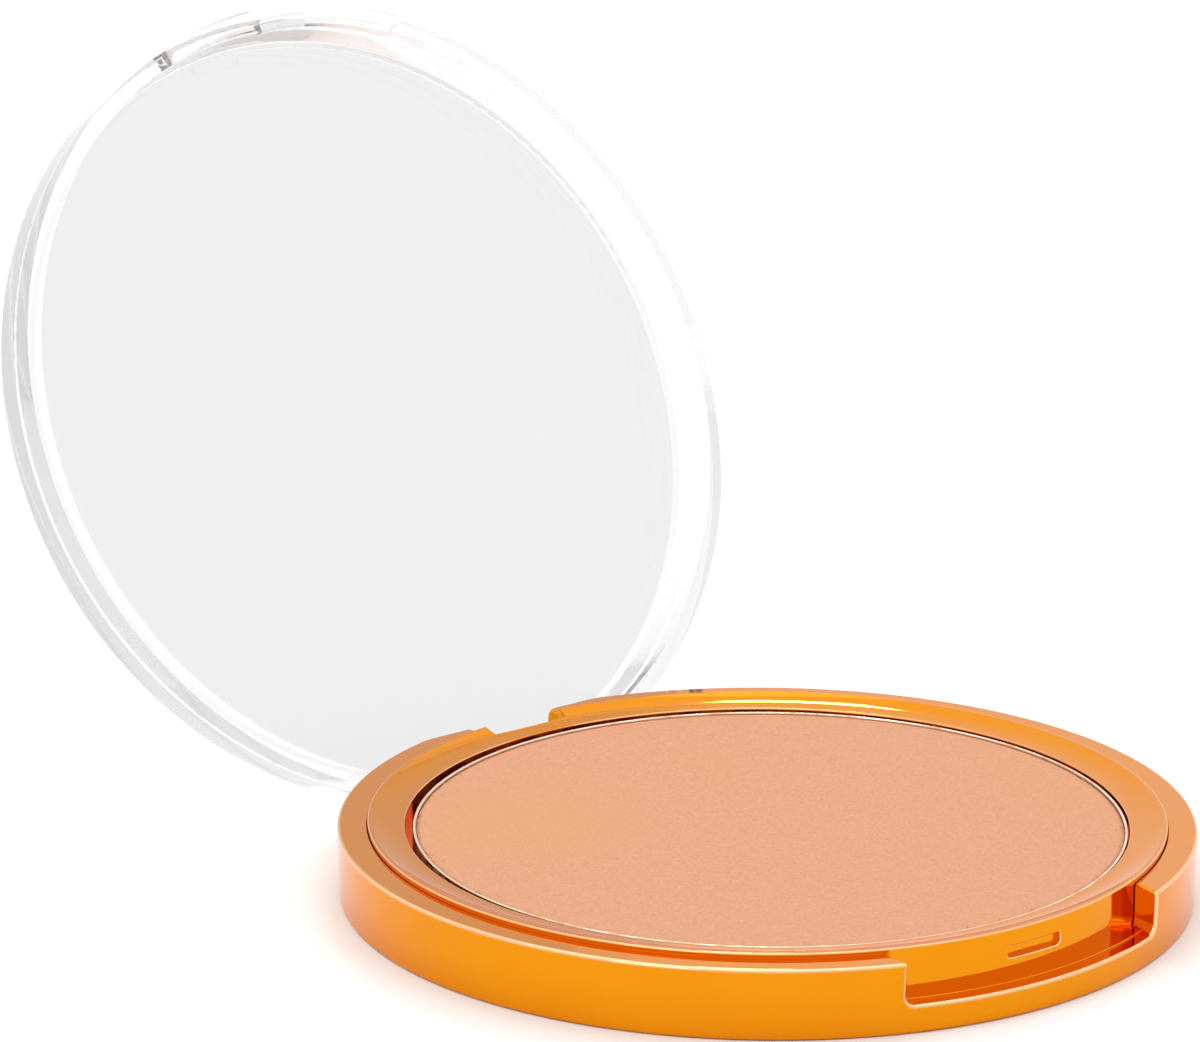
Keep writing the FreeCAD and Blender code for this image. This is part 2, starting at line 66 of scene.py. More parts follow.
def make_camera():
    """A long lens a little above the object, looking past the thumb recess at the open lid."""
    right = Vector((math.cos(CAMERA_AZIMUTH), math.sin(CAMERA_AZIMUTH), 0))
    level = math.cos(CAMERA_ELEVATION)
    rise = math.sin(CAMERA_ELEVATION)
    back = Vector((math.sin(CAMERA_AZIMUTH) * level, -math.cos(CAMERA_AZIMUTH) * level, rise))
    up = back.cross(right)
    place = right * AIM_ACROSS + up * AIM_UP + back * CAMERA_DISTANCE
    turned_right = right * math.cos(CAMERA_ROLL) + up * math.sin(CAMERA_ROLL)
    turned_up = up * math.cos(CAMERA_ROLL) - right * math.sin(CAMERA_ROLL)
    data = bpy.data.cameras.new("camera")
    data.lens = CAMERA_LENS
    data.sensor_width = CAMERA_SENSOR
    data.clip_start = CAMERA_NEAREST
    data.clip_end = CAMERA_FARTHEST
    camera = link("camera", data)
    turn = Matrix((turned_right, turned_up, back)).transposed().to_4x4()
    camera.matrix_world = Matrix.Translation(place) @ turn
    scene.camera = camera


# The softboxes: name, place, width, height and watts.
SOFTBOXES = (
    ("overhead_softbox", Vector((0, 0.05, 0.9)), 0.9, 0.9, 1.3),
    ("back_softbox", Vector((0.41, 0.5, 0.57)), 0.05, 0.06, 0.3),
    ("side_softbox", Vector((-0.9, -0.3, 0.6)), 0.4, 0.4, 0.6),
)


def make_softboxes():
    """Area lights that all face the object's middle."""
    for name, place, width, height, watts in SOFTBOXES:
        data = bpy.data.lights.new(name, "AREA")
        data.shape = "RECTANGLE"
        data.size = width
        data.size_y = height
        data.energy = watts
        lamp = link(name, data)
        lamp.visible_camera = False
        turn = place.to_track_quat("Z", "Y").to_matrix().to_4x4()
        lamp.matrix_world = Matrix.Translation(place) @ turn


HORIZON_LIGHT = 1.0
OVERHEAD_LIGHT = 1.25
SKY_RISE = 0.3
SKY_WHITE = (1, 1, 1, 1)
# Light crosses the clear lid's many faces, and the metal's facing walls, without being cut short.
LIGHT_BOUNCES = 160


def make_world():
    """A plain white studio, a little brighter overhead. SKY_RISE is the sine of the height where
    the sky starts to brighten."""
    scene.world = bpy.data.worlds.new("studio")
    scene.world.use_nodes = True
    tree = scene.world.node_tree
    background = tree.nodes["Background"]
    background.inputs["Color"].default_value = SKY_WHITE
    place = tree.nodes.new("ShaderNodeTexCoord")
    split = tree.nodes.new("ShaderNodeSeparateXYZ")
    sky = tree.nodes.new("ShaderNodeMapRange")
    sky.inputs["From Min"].default_value = SKY_RISE
    sky.inputs["To Min"].default_value = HORIZON_LIGHT
    sky.inputs["To Max"].default_value = OVERHEAD_LIGHT
    tree.links.new(place.outputs["Generated"], split.inputs["Vector"])
    tree.links.new(split.outputs["Z"], sky.inputs["Value"])
    tree.links.new(sky.outputs["Result"], background.inputs["Strength"])


# ---------------------------------------------------------------- materials

def new_material(name, **values):
    """A Principled material. Underscores in a socket's name stand for spaces."""
    material = bpy.data.materials.new(name)
    material.use_nodes = True
    shader = material.node_tree.nodes["Principled BSDF"]
    for socket, value in values.items():
        shader.inputs[socket.replace("_", " ")].default_value = value
    return material


def add(material, kind, **settings):
    """A node, with its attributes or its inputs set."""
    node = material.node_tree.nodes.new(kind)
    for key, value in settings.items():
        if key in node.inputs:
            node.inputs[key].default_value = value
        elif key.replace("_", " ") in node.inputs:
            node.inputs[key.replace("_", " ")].default_value = value
        else:
            setattr(node, key, value)
    return node


def join(material, source, target):
    """Link one node's output to another's input."""
    material.node_tree.links.new(source, target)


def principled(material):
    """The material's shader."""
    return material.node_tree.nodes["Principled BSDF"]


def object_noise(material, scale, detail=4.0, roughness=0.55):
    """Noise that stays on the object. Scale is features per metre."""
    place = add(material, "ShaderNodeTexCoord")
    cloud = add(material, "ShaderNodeTexNoise", Scale=scale, Detail=detail, Roughness=roughness)
    join(material, place.outputs["Object"], cloud.inputs["Vector"])
    return cloud.outputs["Fac"]


def spread(material, source, low, high):
    """Map a 0..1 value onto low..high."""
    node = add(material, "ShaderNodeMapRange", clamp=True)
    node.inputs["To Min"].default_value = low
    node.inputs["To Max"].default_value = high
    join(material, source, node.inputs["Value"])
    return node.outputs["Result"]


def blend_colours(material, source, first, second):
    """Mix two colours, each a plain one or a socket, by a 0..1 value."""
    node = add(material, "ShaderNodeMix", data_type="RGBA")
    sockets = [socket for socket in node.inputs if socket.type == "RGBA"]
    for socket, colour in zip(sockets, (first, second)):
        if isinstance(colour, tuple):
            socket.default_value = (*colour, 1)
        else:
            join(material, colour, socket)
    join(material, source, node.inputs["Factor"])
    return next(socket for socket in node.outputs if socket.type == "RGBA")


def window(material, source, start, stop):
    """0 below start, 1 above stop."""
    node = add(material, "ShaderNodeMapRange", clamp=True)
    node.inputs["From Min"].default_value = start
    node.inputs["From Max"].default_value = stop
    join(material, source, node.inputs["Value"])
    return node.outputs["Result"]


def distance_from_axis(material, centre, axis):
    """How far a place on the object is from a line, in metres."""
    place = add(material, "ShaderNodeTexCoord")
    offset = add(material, "ShaderNodeVectorMath", operation="SUBTRACT")
    offset.inputs[1].default_value = centre
    across = add(material, "ShaderNodeVectorMath", operation="CROSS_PRODUCT")
    across.inputs[1].default_value = axis
    length = add(material, "ShaderNodeVectorMath", operation="LENGTH")
    join(material, place.outputs["Object"], offset.inputs[0])
    join(material, offset.outputs["Vector"], across.inputs[0])
    join(material, across.outputs["Vector"], length.inputs[0])
    return length.outputs["Value"]


def add_bump(material, source, height):
    """Raise the surface by a 0..1 value times a height in metres."""
    node = add(material, "ShaderNodeBump", Strength=1.0, Distance=height)
    join(material, source, node.inputs["Height"])
    join(material, node.outputs["Normal"], principled(material).inputs["Normal"])


# A SCALE is the noise's features per metre, a BAND is where in the noise a spot begins and is whole,
# and a HAZE is a range of roughness.
LACQUER = (0.83, 0.298, 0.0065)
LACQUER_DEEP = (0.79, 0.262, 0.0055)
# The paler colour of rounded edges: partly lacquer drawn thin, partly a painted highlight.
LACQUER_THIN_AND_HIGHLIGHT = (0.93, 0.6, 0.34)
GRAZING_TINT = (1.0, 0.95, 1.0, 1)
LACQUER_FLOW_SCALE = 140
LACQUER_HAZE_SCALE = 600
LACQUER_HAZE = (0.02, 0.06)
LACQUER_RIPPLE_SCALE = 90
LACQUER_RIPPLE_DETAIL = 2
LACQUER_RIPPLE = 0.006 * MM


def lacquered_metal(name):
    """Vacuum-metallised plastic under a clear orange lacquer. Its rounded edges are paler: partly lacquer
    drawn thin, partly a painted highlight.
    """
    material = new_material(name, Metallic=1.0, Specular_Tint=GRAZING_TINT)
    flow = blend_colours(material, object_noise(material, LACQUER_FLOW_SCALE), LACQUER_DEEP, LACQUER)
    # The 'edge' amount paints the paler colour along rounded edges: partly thin lacquer, partly a painted
    # highlight.
    edge = add(material, "ShaderNodeAttribute", attribute_name="edge")
    colour = blend_colours(material, edge.outputs["Fac"], flow, LACQUER_THIN_AND_HIGHLIGHT)
    join(material, colour, principled(material).inputs["Base Color"])
    haze = spread(material, object_noise(material, LACQUER_HAZE_SCALE), *LACQUER_HAZE)
    join(material, haze, principled(material).inputs["Roughness"])
    ripple = object_noise(material, LACQUER_RIPPLE_SCALE, LACQUER_RIPPLE_DETAIL)
    add_bump(material, ripple, LACQUER_RIPPLE)
    return material


LID_TURN = math.radians(118.7)
HINGE_Y = 33.2
HINGE_Z = 3.2
PLATE_EDGE = 33.4
PLATE_BLEND = 0.1
PLATE_GREY = (0.745, 0.745, 0.747)
SKIRT_CLEAR = (0.93, 0.93, 0.932)
STYRENE_INDEX = 1.5
STYRENE_ABSORBS = 4.0
STYRENE_HAZE_SCALE = 400
STYRENE_HAZE = (0.0, 0.012)


def clear_plastic():
    """Clear styrene. The flat plate looks a little grey inside the clear skirt, and light that
    travels far inside the plastic is absorbed, which darkens its edges."""
    material = new_material("clear_styrene", Transmission_Weight=1.0, IOR=STYRENE_INDEX)
    axis = Vector((0, math.sin(LID_TURN), math.cos(LID_TURN)))
    across = Vector((0, math.cos(LID_TURN), -math.sin(LID_TURN)))
    hinge = Vector((0, HINGE_Y, HINGE_Z))
    centre = (hinge - across * HINGE_Y) * MM
    radius = distance_from_axis(material, centre, axis)
    skirt = window(material, radius, PLATE_EDGE * MM, (PLATE_EDGE + PLATE_BLEND) * MM)
    shade = blend_colours(material, skirt, PLATE_GREY, SKIRT_CLEAR)
    join(material, shade, principled(material).inputs["Base Color"])
    haze = spread(material, object_noise(material, STYRENE_HAZE_SCALE), *STYRENE_HAZE)
    join(material, haze, principled(material).inputs["Roughness"])
    inside = add(material, "ShaderNodeVolumeAbsorption", Color=(0, 0, 0, 1), Density=STYRENE_ABSORBS)
    output = next(node for node in material.node_tree.nodes if node.type == "OUTPUT_MATERIAL")
    join(material, inside.outputs["Volume"], output.inputs["Volume"])
    return material


POWDER_LIGHT = (0.73, 0.36, 0.217)
POWDER_DARK = (0.59, 0.277, 0.16)
POWDER_YELLOW = (0.66, 0.33, 0.15)
YELLOW_SPOT_PLACE = Vector((-16, 13, 0))
YELLOW_SPOT_NEAR = 4.0
YELLOW_SPOT_FAR = 15.0
YELLOW_SPOT_MOST = 0.65
PATCH_SCALE = 60
PATCH_BAND = (0.5, 0.7)
PATCH_MOST = 0.3
GRAIN_SCALE = 3500
GRAIN_BAND = (0.3, 0.7)
GRAIN_DETAIL = 6
GRAIN_BUMP_SCALE = 7000
GRAIN_BUMP = 0.05 * MM
GRAIN_ROUGHNESS = 0.7
POWDER_ROUGHNESS = 0.8
POWDER_SHINE = 0.15
POWDER_EDGE_PAINTED_SHADE = (0.42, 0.2, 0.12)
EDGE_PAINTED_SHADE_IN = 0.1
EDGE_PAINTED_SHADE_OUT = 0.25
EDGE_RAG = 0.5
EDGE_RAG_SCALE = 1500
EDGE_RAG_DETAIL = 3


def pressed_powder():
    """Pressed face powder: fine grains, faint yellower patches and a painted shade along its ragged edge.
    """
    material = new_material("face_powder", Roughness=POWDER_ROUGHNESS, Specular_IOR_Level=POWDER_SHINE)
    grains = object_noise(material, GRAIN_SCALE, GRAIN_DETAIL, GRAIN_ROUGHNESS)
    shade = blend_colours(material, window(material, grains, *GRAIN_BAND), POWDER_DARK, POWDER_LIGHT)
    # The powder is yellower round a place left of the middle.
    from_yellow_spot = distance_from_axis(material, YELLOW_SPOT_PLACE * MM, UPRIGHT)
    spot_mask = window(material, from_yellow_spot, YELLOW_SPOT_FAR * MM, YELLOW_SPOT_NEAR * MM)
    shade = blend_colours(material, spread(material, spot_mask, 0.0, YELLOW_SPOT_MOST), shade, POWDER_YELLOW)
    patches = window(material, object_noise(material, PATCH_SCALE), *PATCH_BAND)
    shade = blend_colours(material, spread(material, patches, 0.0, PATCH_MOST), shade, POWDER_YELLOW)
    # A painted shade darkens the powder along its ragged edge, next to the pan.
    radius = distance_from_axis(material, PAN_CENTRE * MM, UPRIGHT)
    ragged = add(material, "ShaderNodeMath", operation="MULTIPLY_ADD")
    ragged.inputs[1].default_value = EDGE_RAG * MM
    join(material, object_noise(material, EDGE_RAG_SCALE, EDGE_RAG_DETAIL), ragged.inputs[0])
    join(material, radius, ragged.inputs[2])
    edge_in = (POWDER_RADIUS - EDGE_PAINTED_SHADE_IN) * MM
    edge_out = (POWDER_RADIUS + EDGE_PAINTED_SHADE_OUT) * MM
    edge = window(material, ragged.outputs["Value"], edge_in, edge_out)
    shade = blend_colours(material, edge, shade, POWDER_EDGE_PAINTED_SHADE)
    join(material, shade, principled(material).inputs["Base Color"])
    bumps = object_noise(material, GRAIN_BUMP_SCALE, roughness=GRAIN_ROUGHNESS)
    add_bump(material, bumps, GRAIN_BUMP)
    return material


PAN_BRIGHT = (0.93, 0.8, 0.64)
PAN_DUST = (0.78, 0.47, 0.3)
PAN_DUST_SCALE = 450
PAN_DUST_BAND = (0.45, 0.6)
PAN_HAZE = (0.18, 0.6)


def dusty_metal():
    """Bright tinplate with powder rubbed onto it in places, where it is also duller."""
    material = new_material("pan_tinplate", Metallic=1.0)
    dust = object_noise(material, PAN_DUST_SCALE, GRAIN_DETAIL, GRAIN_ROUGHNESS)
    spot_mask = window(material, dust, *PAN_DUST_BAND)
    shade = blend_colours(material, spot_mask, PAN_BRIGHT, PAN_DUST)
    join(material, shade, principled(material).inputs["Base Color"])
    join(material, spread(material, spot_mask, *PAN_HAZE), principled(material).inputs["Roughness"])
    return material


PIN_BRIGHT = (0.7, 0.7, 0.7)
PIN_DULL = (0.63, 0.63, 0.63)
PIN_SHADE_SCALE = 500
PIN_HAZE_SCALE = 1500
PIN_HAZE = (0.2, 0.35)


def pin_steel():
    """Drawn steel wire, slightly uneven in colour and polish."""
    material = new_material("pin_steel", Metallic=1.0)
    shade = blend_colours(material, object_noise(material, PIN_SHADE_SCALE), PIN_BRIGHT, PIN_DULL)
    join(material, shade, principled(material).inputs["Base Color"])
    haze = spread(material, object_noise(material, PIN_HAZE_SCALE), *PIN_HAZE)
    join(material, haze, principled(material).inputs["Roughness"])
    return material


# Soft surfaces: two colours, features per metre, and the height of the grain.
FLOOR_PAPER = ((0.88, 0.88, 0.88), (0.9, 0.9, 0.9), 20, 0.01 * MM)
HOT_GLUE = ((0.85, 0.82, 0.7), (0.9, 0.88, 0.78), 200, 0.1 * MM)
LABEL_PAPER = ((0.85, 0.85, 0.83), (0.9, 0.9, 0.88), 900, 0.02 * MM)
SOFT_GRAIN = 4
SOFT_ROUGHNESS = 0.6


def soft_surface(name, first, second, scale, grain):
    """A matt surface in two close colours, with a grain SOFT_GRAIN times finer than their spots."""
    material = new_material(name, Roughness=SOFT_ROUGHNESS)
    shade = blend_colours(material, object_noise(material, scale), first, second)
    join(material, shade, principled(material).inputs["Base Color"])
    add_bump(material, object_noise(material, scale * SOFT_GRAIN), grain)
    return material


def wear(node, material):
    """Give a CAD node its finished material."""
    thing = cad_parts[node]
    thing.data.materials.clear()
    thing.data.materials.append(material)
    return thing


# ---------------------------------------------------------------- meshes

# Sizes and places in millimetres, each count of steps beside the shape that it divides.
# Corners closer than WELD are one corner, and a face smaller than NO_AREA square metres is none.
WELD = 0.0005 * MM
NO_AREA = 1e-16
TOLERANCE = 1e-6
CORNER_STEPS = 6

SHELL_RADIUS = 35.5
SHELL_FOOT_RADIUS = 35.3
SHELL_BORE = 33.05
LEDGE_HEIGHT = 6.0
FLOOR_TOP = 1.4
FLOOR_SEAM = 31.0
FLOOR_STEPS = 180
HALF_STEP = 0.5
FOOT_RING = 28.0
FOOT_RING_ROUND = 0.05
FOOT_DEPTH = 0.35
FOOT_ROUND = 0.3
FOOT_STEPS = 5
FOOT_FAN = math.radians(22)  # how far from an opening the slices' lower ends are spread
REAR_FLAT = 34.3
REAR_FLAT_HALF = math.sqrt(SHELL_RADIUS ** 2 - REAR_FLAT ** 2)
REAR_COSINE = -0.5  # an angle with a lower cosine is at the rear
LIP_ROUND = 0.3
LIP_STEPS = 7
BORE_ROUND = 0.07
BORE_STEPS = 3
LEDGE_STEPS = 96
LEDGE_STEPS_ACROSS = 4
LEDGE_FADE = math.radians(9)  # how far from an opening the slices turn from straight to radial
WALL_STEPS = 5
RECESS_HALF_WIDTH = 13.2
RECESS_FLOOR = 2.4
RECESS_CORNER = 0.8
RECESS_TOP_ROUND = 0.35
RECESS_STEPS = 24
RECESS_SIDE_STEPS = 5
OPENING_ROUND_STEPS = 8
STEP_RADIUS = 34.1
STEP_HEIGHT = 0.14
STEP_ROUND = 0.06
STEP_SINK = 0.05
STEP_PIECES = 48
NOTCH_HALF_WIDTH = 4.05
NOTCH_WALL = 31.35
NOTCH_ROUND = 0.7
NOTCH_SIDE_STEPS = 6
NOTCH_FLOOR_STEPS = 12
BLOCK_HALF_WIDTH = 12.9
BLOCK_FRONT = 30.85
BLOCK_TOP = 4.95
BLOCK_SIDE_GAP = 0.01
BLOCK_BACK_GAP = 0.2
BLOCK_ROOT = 0.1
FRAME_RADIUS = 33.0
RIM_HEIGHT = 6.45
RIM_ROUND = 0.16
RIM_LAND = 0.35
RIM_STEPS = 5
RING_SAG = 0.14
RING_OUTER_STEPS = 6
RING_INNER_STEPS = 8
WELL_RADIUS = 29.9
WELL_LIP = 5.88
WELL_ROUND = 0.12
WELL_STEPS = 5
WELL_WALL = 0.85
CATCH_WALL = 1.2
FRAME_FLANGE = 1.1
FRAME_ROOF_DROP = 0.4
FRAME_CUT_GAP = 0.2
FRAME_STEPS = 110
FRAME_REAR_STEPS = 12
BRIDGE_STEPS = 10
SLOT_HALF_WIDTH = 2.75
SLOT_LOW = 4.0
SLOT_HIGH = 5.0
SLOT_DEPTH = 0.5
SLOT_CORNER = 0.22
SLOT_ROUND = 0.14
SLOT_ROUND_STEPS = 6
SLOT_PATCH_HALF_WIDTH = 4.0
SLOT_PATCH_ACROSS = 16
SLOT_PATCH_UP = 8
SLOT_PATCH_LOW = 3.2
SLOT_PATCH_HIGH = 5.8
FLANGE_LOW = 5.0
NOTCH_ANGLE = math.pi - math.asin(NOTCH_HALF_WIDTH / FRAME_RADIUS)
NOTCH_WALL_FOOT = NOTCH_WALL / -math.cos(NOTCH_ANGLE)
CUT_ANGLE = math.pi - math.asin((BLOCK_HALF_WIDTH + FRAME_CUT_GAP) / FRAME_RADIUS)
PAN_CENTRE = Vector((0.19, -0.16, 0))
PAN_RADIUS = 29.5
PAN_WALL = 0.25
PAN_RIM = 5.7
PAN_LOW = 1.65
PAN_CORNER = 0.8
PAN_RIM_ROUND = 0.1
PAN_STEPS = 300
POWDER_RADIUS = 29.22
POWDER_LOW = 1.93
POWDER_EDGE = 5.56
POWDER_CROWN = 0.08


class Skin:
    """Faces, given in millimetres, that share corners where they meet. Each corner of a face keeps
    its own normal."""

    def __init__(self):
        self.places = []
        self.numbers = {}
        self.faces = []
        self.normals = []
        self.edge = {}

    def number(self, place):
        """The corner's number, the same for every corner at the same place."""
        key = tuple(round(c * MM / WELD) for c in place)
        if key not in self.numbers:
            self.numbers[key] = len(self.places)
            self.places.append(tuple(c * MM for c in place))
        return self.numbers[key]

    def face(self, corners):
        """One face from (place, normal) corners, turned to agree with its normals."""
        kept = {}
        for place, normal in corners:
            kept.setdefault(self.number(place), normal)
        if len(kept) < 3:
            return
        numbers = list(kept)
        normals = list(kept.values())
        ring = [Vector(self.places[number]) for number in numbers]
        around = sum((a.cross(b) for a, b in zip(ring, ring[1:] + ring[:1])), Vector())
        if around.length < NO_AREA:
            return
        if around.dot(sum(normals, Vector())) < 0:
            numbers.reverse()
            normals.reverse()
        self.faces.append(numbers)
        self.normals.extend(normals)

    def band(self, rows, closed=False, edge=0.0):
        """Quads between neighbouring rows of (place, normal) corners. 'edge' says how much of an
        edge the middle row is, for the lacquer's paler edges, which are partly a painted highlight."""
        if edge:
            for number, row in enumerate(rows):
                amount = edge * math.sin(math.pi * number / (len(rows) - 1))
                for place, normal in row:
                    self.edge[self.number(place)] = amount
        for low, high in zip(rows, rows[1:]):
            count = len(low)
            for i in range(count if closed else count - 1):
                j = (i + 1) % count
                self.face([low[i], low[j], high[j], high[i]])

    def cap(self, places, normal):
        """One flat face."""
        self.face([(place, normal) for place in places])

    def box(self, low, high):
        """A block with square edges between two opposite corners."""
        for axis in range(3):
            others = [a for a in range(3) if a != axis]
            for end, sign in ((low, -1), (high, 1)):
                normal = Vector([sign if a == axis else 0 for a in range(3)])
                corners = []
                for first, second in ((0, 0), (1, 0), (1, 1), (0, 1)):
                    place = [0.0, 0.0, 0.0]
                    place[axis] = end[axis]
                    place[others[0]] = (low, high)[first][others[0]]
                    place[others[1]] = (low, high)[second][others[1]]
                    corners.append(Vector(place))
                self.cap(corners, normal)

    def finish(self, name, material, body):
        """The piece, riding with a body of the frame."""
        mesh = bpy.data.meshes.new(name)
        mesh.from_pydata(self.places, [], self.faces)
        mesh.polygons.foreach_set("use_smooth", [True] * len(mesh.polygons))
        mesh.normals_split_custom_set([normal.normalized() for normal in self.normals])
        mesh.materials.append(material)
        # The 'edge' attribute carries the paler edge colour: partly thin lacquer, partly a painted
        # highlight.
        if self.edge:
            amounts = mesh.attributes.new("edge", "FLOAT", "POINT")
            for number, amount in self.edge.items():
                amounts.data[number].value = amount
        piece = link(name, mesh)
        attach(piece, body)
        return piece


def turn(radius, angle, height):
    """A place on a circle about the Z axis. Angle 0 is the front and 90 degrees the right."""
    return Vector((radius * math.sin(angle), -radius * math.cos(angle), height))


def facing(angle, out, up):
    """The direction at an angle that leans outwards and upwards by these amounts."""
    return Vector((out * math.sin(angle), -out * math.cos(angle), up)).normalized()


def steps(start, stop, count):
    """Even values from start to stop, with both ends."""
    return [start + (stop - start) * i / count for i in range(count + 1)]


def rounded_section(points):
    """Stretches of (radius, height, out, up) along a closed outline drawn anticlockwise.
    A point is (radius, height, rounding), and each stretch is smooth."""
    stretches = []
    ends = []
    for i, (r, z, rounding) in enumerate(points):
        here = Vector((r, z))
        before = (Vector(points[i - 1][:2]) - here).normalized()
        after = (Vector(points[(i + 1) % len(points)][:2]) - here).normalized()
        if not rounding:
            ends.append((here, here))
            stretches.append(None)
            continue
        half = before.angle(after) / 2
        reach = rounding / math.tan(half)
        centre = here + (before + after).normalized() * (rounding / math.sin(half))
        first = (here + before * reach - centre).normalized()
        last = (here + after * reach - centre).normalized()
        sweep = first.angle_signed(last)
        convex = sweep < 0
        arc = []
        for share in steps(0, 1, CORNER_STEPS):
            spoke = Vector(first)
            spoke.rotate(Matrix.Rotation(-sweep * share, 2))
            out = spoke if convex else -spoke
            arc.append((*(centre + spoke * rounding), *out))
        ends.append((here + before * reach, here + after * reach))
        stretches.append(arc)
    result = []
    for i in range(len(points)):
        if stretches[i]:
            result.append(stretches[i])
        start, stop = ends[i][1], ends[(i + 1) % len(points)][0]
        along = (stop - start).normalized()
        result.append([(*start, along.y, -along.x), (*stop, along.y, -along.x)])
    return result


def revolve(skin, stretches, angles, closed=True, centre=ORIGIN):
    """Turn a section about an upright axis through 'centre'."""
    for stretch in stretches:
        rows = [[(turn(r, a, z) + centre, facing(a, out, up)) for a in angles] for r, z, out, up in stretch]
        skin.band(rows, closed)


def whole_turn(count, start=0.0):
    """Even angles. 'start' is in steps, so that a half keeps clear of the middle plane."""
    return [2 * math.pi * (i + start) / count for i in range(count)]


def wall_radius(height):
    """The shell's outer radius, which grows slightly from the foot to the ledge."""
    share = (height - FOOT_ROUND) / (LEDGE_HEIGHT - FOOT_ROUND)
    return SHELL_FOOT_RADIUS + (SHELL_RADIUS - SHELL_FOOT_RADIUS) * share


DRAFT = (SHELL_RADIUS - SHELL_FOOT_RADIUS) / (LEDGE_HEIGHT - FOOT_ROUND)


class Column:
    """One slice of the shell's wall: where its top edge is and which way its top faces."""

    def __init__(self, across, height, top, angle=None, straight=1.0, rear=False):
        radius = wall_radius(height)
        if angle is None:
            reach = min(radius, math.hypot(across, REAR_FLAT)) if rear else radius
            angle = math.asin(across / reach)
            angle = math.pi - angle if rear else angle
        self.angle = angle
        self.across = min(radius, self.flat_radius(angle)) * math.sin(angle)
        self.height = height
        self.top = Vector(top).normalized()
        self.straight = straight

    @staticmethod
    def flat_radius(angle):
        """How far out the flat behind the hinge lies. Elsewhere it is beyond the wall."""
        return REAR_FLAT / -math.cos(angle) if math.cos(angle) < REAR_COSINE else 2 * SHELL_RADIUS

    def angle_at(self, radius):
        """The slice's angle where it crosses a circle. A straight slice keeps its x."""
        along = math.asin(min(1.0, self.across / radius))
        along = math.pi - along if self.angle > math.pi / 2 else along
        return self.angle + self.straight * (along - self.angle)


def quarter_round(start, stop):
    """Directions (right, up) round an opening's corner, between two angles in degrees."""
    angles = [math.radians(angle) for angle in steps(start, stop, OPENING_ROUND_STEPS)]
    return [(math.cos(angle), math.sin(angle)) for angle in angles]


def half_shell_columns():
    """The right half's slices, from the middle of the thumb recess round to the notch."""
    columns = []
    corner = RECESS_HALF_WIDTH - RECESS_CORNER
    up = (0, 0, 1)
    for across in steps(0, corner, RECESS_STEPS):
        columns.append(Column(across, RECESS_FLOOR, up))
    for right, rise in quarter_round(-90, 0)[1:]:
        across = corner + RECESS_CORNER * right
        columns.append(Column(across, RECESS_FLOOR + RECESS_CORNER * (1 + rise), (-right, 0, -rise)))
    wall_top = LEDGE_HEIGHT - RECESS_TOP_ROUND
    for height in steps(RECESS_FLOOR + RECESS_CORNER, wall_top, RECESS_SIDE_STEPS)[1:]:
        columns.append(Column(RECESS_HALF_WIDTH, height, (-1, 0, 0)))
    for right, rise in quarter_round(180, 90)[1:]:
        across = RECESS_HALF_WIDTH + RECESS_TOP_ROUND * (1 + right)
        columns.append(Column(across, wall_top + RECESS_TOP_ROUND * rise, (right, 0, rise)))
    first = columns[-1].angle
    notch_edge = NOTCH_HALF_WIDTH + NOTCH_ROUND
    last = Column(notch_edge, LEDGE_HEIGHT, up, rear=True).angle
    for i in range(1, LEDGE_STEPS):
        angle = first + (last - first) * i / LEDGE_STEPS
        near = min(angle - first, last - angle) / LEDGE_FADE
        columns.append(Column(0, LEDGE_HEIGHT, up, angle=angle, straight=max(0.0, 1 - near)))
    for right, rise in quarter_round(90, 180):
        across = notch_edge + NOTCH_ROUND * right
        height = LEDGE_HEIGHT - NOTCH_ROUND * (1 - rise)
        columns.append(Column(across, height, (right, 0, rise), rear=True))
    for height in steps(LEDGE_HEIGHT - NOTCH_ROUND, FLOOR_TOP, NOTCH_SIDE_STEPS)[1:]:
        columns.append(Column(NOTCH_HALF_WIDTH, height, (-1, 0, 0), rear=True))
    return columns


def foot_angles(columns, radius):
    """Angles for the slices' lower ends. Where the top edge runs down beside an opening, the lower
    ends fan out under the wall, so that no two slices share a face's edge."""
    travel = [0.0]
    for a, b in zip(columns, columns[1:]):
        arc = abs(b.angle_at(radius) - a.angle_at(radius)) * radius
        travel.append(travel[-1] + math.hypot(arc, b.height - a.height))
    flat = [i for i, column in enumerate(columns) if column.height >= LEDGE_HEIGHT - TOLERANCE]
    low_end, high_end = flat[0], flat[-1]
    bend = next(i for i, column in enumerate(columns) if column.height > RECESS_FLOOR + TOLERANCE)
    start, stop = columns[bend - 1].angle_at(radius), columns[-1].angle_at(radius)
    front_shift = start + (travel[low_end] - travel[bend - 1]) / radius - columns[low_end].angle_at(radius)
    rear_shift = columns[high_end].angle_at(radius) - (stop - (travel[-1] - travel[high_end]) / radius)
    angles = []
    for i, column in enumerate(columns):
        angle = column.angle_at(radius)
        if i < bend:
            angles.append(angle)
        elif i < low_end:
            angles.append(start + (travel[i] - travel[bend - 1]) / radius)
        elif i > high_end:
            angles.append(stop - (travel[-1] - travel[i]) / radius)
        else:
            after = angle - columns[low_end].angle_at(radius)
            before = columns[high_end].angle_at(radius) - angle
            angles.append(angle + front_shift * max(0.0, 1 - after / FOOT_FAN)
                          - rear_shift * max(0.0, 1 - before / FOOT_FAN))
    return angles


def lip(edge, first, second, radius, count):
    """Corners round an edge where two faces meet, from the first face to the second."""
    centre = edge - (first + second) * (radius / (1 + first.dot(second)))
    corners = []
    for share in steps(0, 1, count):
        normal = first.slerp(second, share)
        corners.append((centre + normal * radius, normal))
    return corners


